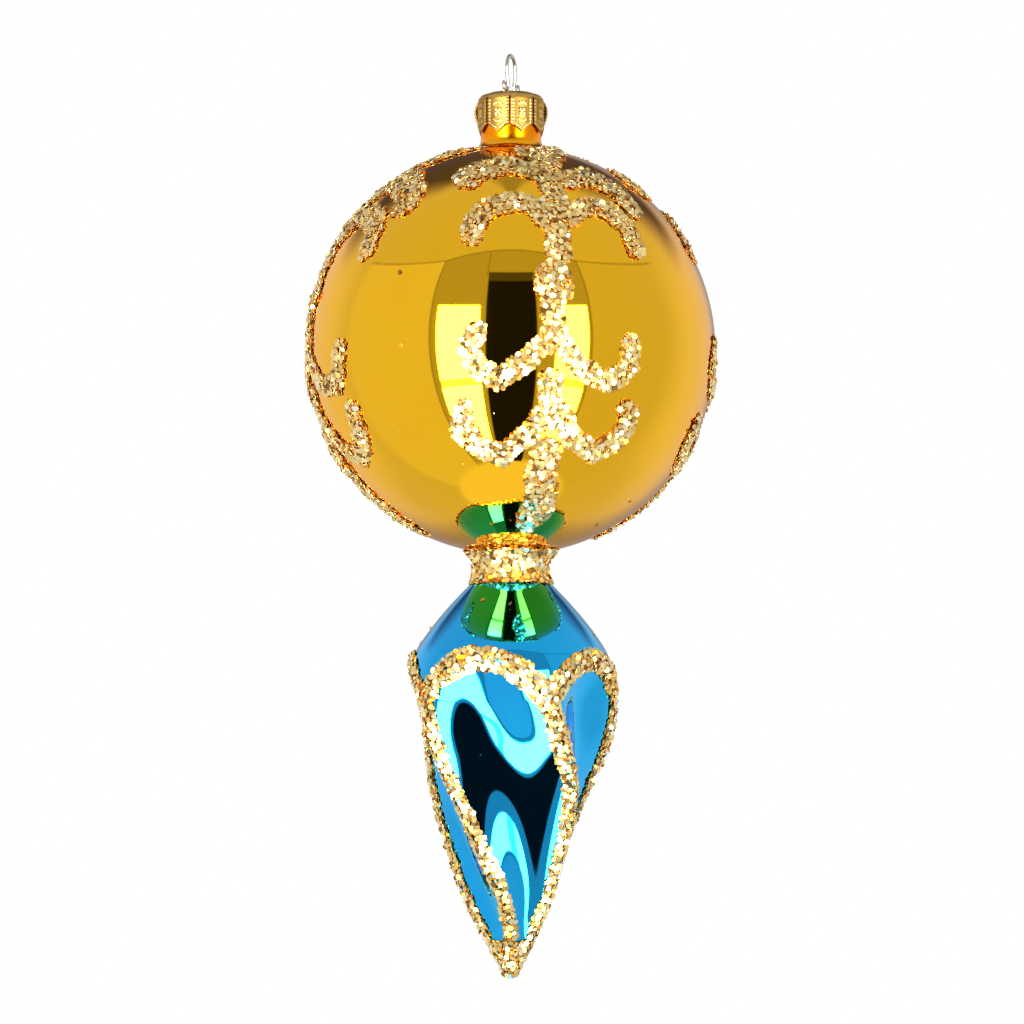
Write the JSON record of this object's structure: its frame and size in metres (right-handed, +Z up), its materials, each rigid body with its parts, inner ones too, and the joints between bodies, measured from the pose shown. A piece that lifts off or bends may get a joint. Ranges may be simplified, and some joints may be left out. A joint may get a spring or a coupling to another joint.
{
  "type": "glass finial ornament",
  "caption": "Blown-glass hanging ornament: gold mirror ball over a blue swirled drop, with piped glitter, a stamped crown cap and a spring-wire hanger.",
  "frame": {"origin": "the point the ornament hangs from, on the inside of the top of the wire loop", "axes": "+Z up through the ball and drop, front of the ornament towards -Y, +X to the right seen from the front"},
  "size_m": [0.0808, 0.0808, 0.1809],
  "materials": {
    "gold_glass": "mirror-silvered inside with clear gold lacquer, high gloss",
    "blue_glass": "mirror-silvered inside with clear blue lacquer, high gloss",
    "gilt_metal": "satin gilt outside, bare metal inside, embossed",
    "spring_wire": "pale nickel-plated spring wire",
    "glitter": "coarse metallic gold flakes in a bed of glue"
  },
  "bodies": {
    "hanger": {"hanger_wire": "spring_wire"},
    "cap": {"crown_cap": "gilt_metal"},
    "glass": {"ball_glass": "gold_glass", "drop_glass": "blue_glass", "glitter_collar": "glitter", "glitter_sprig_1": "glitter", "glitter_sprig_2": "glitter", "glitter_sprig_3": "glitter", "glitter_sprig_4": "glitter", "glitter_outline_1": "glitter", "glitter_outline_2": "glitter", "glitter_outline_3": "glitter", "glitter_outline_4": "glitter", "glitter_outline_5": "glitter", "glitter_tip": "glitter"}
  },
  "joints": [
    {"name": "cap_ride", "type": "slide", "parent": "hanger", "child": "cap", "axis": [0, 0, -1], "range_m": [0, 0.003]},
    {"name": "neck_pull", "type": "slide", "parent": "cap", "child": "glass", "axis": [0, 0, -1], "range_m": [0, 0.02]}
  ]
}
